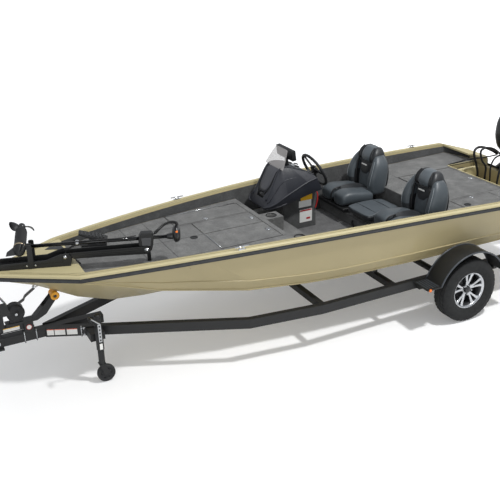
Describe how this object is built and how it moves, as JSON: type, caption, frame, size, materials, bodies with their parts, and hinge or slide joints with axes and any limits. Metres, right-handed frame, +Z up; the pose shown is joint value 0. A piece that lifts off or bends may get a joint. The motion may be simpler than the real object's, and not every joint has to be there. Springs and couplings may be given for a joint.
{
  "type": "bass boat on trailer",
  "caption": "Aluminium fishing boat with console, bucket seats, outboard and stowed bow motor, resting on a single-axle trailer with jack and folding tongue.",
  "frame": {"origin": "on the ground, midway along the whole assembly and on its centreline", "axes": "+X to the bow, +Y to port, +Z up"},
  "size_m": [7.022, 2.116, 1.66],
  "materials": {
    "hull_paint": "satin tan paint",
    "cap_paint": "satin light tan paint",
    "carpet": "short pile marine carpet",
    "vinyl": "stitched marine vinyl",
    "console_plastic": "grained moulded plastic",
    "smoked": "smoked acrylic",
    "silver": "brushed",
    "black_plastic": "matt black",
    "motor_paint": "satin dark grey paint",
    "prop_metal": "satin black paint",
    "chrome_metal": "polished",
    "trailer_paint": "satin black paint",
    "rubber_soft": "moulded rubber",
    "bunk_carpet": "looped carpet",
    "amber_rubber": "amber roller compound",
    "tyre_rubber": "road tyre",
    "rim_alloy": "machined alloy",
    "lamp_red": "red lamp lens"
  },
  "bodies": {
    "boat_and_trailer": {"hull_shell": "hull_paint", "gunwale_cap": "cap_paint", "corner_plates": "cap_paint", "rub_rail": "rubber_soft", "front_deck": "carpet", "aft_deck": "carpet", "cockpit_floor": "carpet", "seat_platform": "carpet", "step_tray": "console_plastic", "seat_starboard": "vinyl", "seat_port": "vinyl", "console": "console_plastic", "console_pedestal": "console_plastic", "windscreen": "smoked", "dash_panel": "silver", "display": "black_plastic", "outboard_bracket": "motor_paint", "bow_motor_base": "black_plastic", "foot_pedal": "black_plastic", "cleats": "chrome_metal", "rail_starboard": "trailer_paint", "rail_port": "trailer_paint", "crossmember_rear": "trailer_paint", "crossmember_mid": "trailer_paint", "crossmember_front": "trailer_paint", "bunk_starboard": "bunk_carpet", "bunk_port": "bunk_carpet", "tongue_tube": "trailer_paint", "tongue_hinge": "trailer_paint", "winch_stand": "trailer_paint", "winch": "black_plastic", "axle": "trailer_paint", "fender_starboard": "trailer_paint", "fender_port": "trailer_paint", "jack_bracket": "trailer_paint", "tail_lights": "lamp_red", "boarding_step": "trailer_paint"},
    "helm": {"steering_wheel": "black_plastic"},
    "motor_swivel": {"outboard_swivel": "motor_paint"},
    "motor": {"outboard_cowl": "motor_paint", "outboard_leg": "motor_paint"},
    "motor_propeller": {"propeller": "prop_metal"},
    "bow_arm": {"bow_motor_arm": "black_plastic"},
    "bow_unit": {"bow_motor_shaft": "black_plastic"},
    "bow_propeller": {"bow_motor_prop": "black_plastic"},
    "rod_lid": {"lid_rod_starboard": "carpet"},
    "front_centre_lid": {"lid_front_centre": "carpet"},
    "front_port_lid": {"lid_front_port": "carpet"},
    "aft_lid": {"lid_aft_centre": "carpet"},
    "livewell_lid": {"lid_livewell": "carpet"},
    "step_seat": {"step_seat_lid": "vinyl"},
    "tongue": {"tongue_fold": "trailer_paint", "coupler": "trailer_paint"},
    "roller": {"bow_roller": "amber_rubber"},
    "wheel_starboard": {"tyre_starboard": "tyre_rubber", "rim_starboard": "rim_alloy"},
    "wheel_port": {"tyre_port": "tyre_rubber", "rim_port": "rim_alloy"},
    "jack": {"jack_leg": "trailer_paint"},
    "jack_caster": {"jack_wheel": "rubber_soft"}
  },
  "joints": [
    {"name": "helm_turn", "type": "hinge", "parent": "boat_and_trailer", "child": "helm", "pos_m": [-0.746, -0.455, 1.178], "axis": [-0.8829, 0, 0.4695], "range_deg": [-540, 540]},
    {"name": "motor_tilt", "type": "hinge", "parent": "boat_and_trailer", "child": "motor_swivel", "pos_m": [-2.916, 0, 0.985], "axis": [0, 1, 0], "range_deg": [0, 65]},
    {"name": "motor_steer", "type": "hinge", "parent": "motor_swivel", "child": "motor", "pos_m": [-3.026, 0, 0.8], "axis": [0, 0, 1], "range_deg": [-30, 30]},
    {"name": "motor_propeller_spin", "type": "hinge", "parent": "motor", "child": "motor_propeller", "pos_m": [-3.266, 0, 0.425], "axis": [1, 0, 0], "continuous": true},
    {"name": "bow_arm_swing", "type": "hinge", "parent": "boat_and_trailer", "child": "bow_arm", "pos_m": [1.909, 0.131, 1.085], "axis": [0.3256, 0.9455, 0], "range_deg": [0, 180]},
    {"name": "bow_unit_swing", "type": "hinge", "parent": "bow_arm", "child": "bow_unit", "pos_m": [1.3086, 0.3377, 1.085], "axis": [0.3256, 0.9455, 0], "range_deg": [-90, 0]},
    {"name": "bow_propeller_spin", "type": "hinge", "parent": "bow_unit", "child": "bow_propeller", "pos_m": [2.2286, 0.021, 1.173], "axis": [-0.3059, -0.8885, 0.342], "continuous": true},
    {"name": "rod_lid_hinge", "type": "hinge", "parent": "boat_and_trailer", "child": "rod_lid", "pos_m": [0.444, -0.548, 0.95], "axis": [1, 0, 0], "range_deg": [0, 85]},
    {"name": "front_centre_lid_hinge", "type": "hinge", "parent": "boat_and_trailer", "child": "front_centre_lid", "pos_m": [0.659, -0.1385, 0.95], "axis": [0, 1, 0], "range_deg": [0, 85]},
    {"name": "front_port_lid_hinge", "type": "hinge", "parent": "boat_and_trailer", "child": "front_port_lid", "pos_m": [0.659, 0.1825, 0.95], "axis": [0, 1, 0], "range_deg": [0, 85]},
    {"name": "aft_lid_hinge", "type": "hinge", "parent": "boat_and_trailer", "child": "aft_lid", "pos_m": [-1.751, -0.02, 0.935], "axis": [0, 1, 0], "range_deg": [0, 85]},
    {"name": "livewell_lid_hinge", "type": "hinge", "parent": "boat_and_trailer", "child": "livewell_lid", "pos_m": [-1.991, 0.72, 0.935], "axis": [-1, 0, 0], "range_deg": [0, 85]},
    {"name": "step_seat_hinge", "type": "hinge", "parent": "boat_and_trailer", "child": "step_seat", "pos_m": [-1.371, 0, 0.7923], "axis": [0, -1, 0], "range_deg": [0, 80]},
    {"name": "tongue_fold_hinge", "type": "hinge", "parent": "boat_and_trailer", "child": "tongue", "pos_m": [2.629, 0.06, 0.393], "axis": [0, 0, 1], "range_deg": [0, 90]},
    {"name": "bow_roller_spin", "type": "hinge", "parent": "boat_and_trailer", "child": "roller", "pos_m": [2.014, 0, 0.7017], "axis": [0, 1, 0], "continuous": true},
    {"name": "wheel_starboard_roll", "type": "hinge", "parent": "boat_and_trailer", "child": "wheel_starboard", "pos_m": [-1.507, -0.961, 0.305], "axis": [0, 1, 0], "continuous": true},
    {"name": "wheel_port_roll", "type": "hinge", "parent": "boat_and_trailer", "child": "wheel_port", "pos_m": [-1.507, 0.961, 0.305], "axis": [0, 1, 0], "continuous": true},
    {"name": "jack_swing", "type": "hinge", "parent": "boat_and_trailer", "child": "jack", "pos_m": [1.774, 0.366, 0.397], "axis": [0, -1, 0], "range_deg": [0, 90]},
    {"name": "jack_wheel_roll", "type": "hinge", "parent": "jack", "child": "jack_caster", "pos_m": [1.748, 0.366, 0.076], "axis": [0, 1, 0], "continuous": true}
  ],
  "couplings": [
    {"joint": "motor_steer", "follows": "helm_turn", "ratio": -0.0555},
    {"joint": "bow_unit_swing", "follows": "bow_arm_swing", "ratio": -0.5}
  ]
}
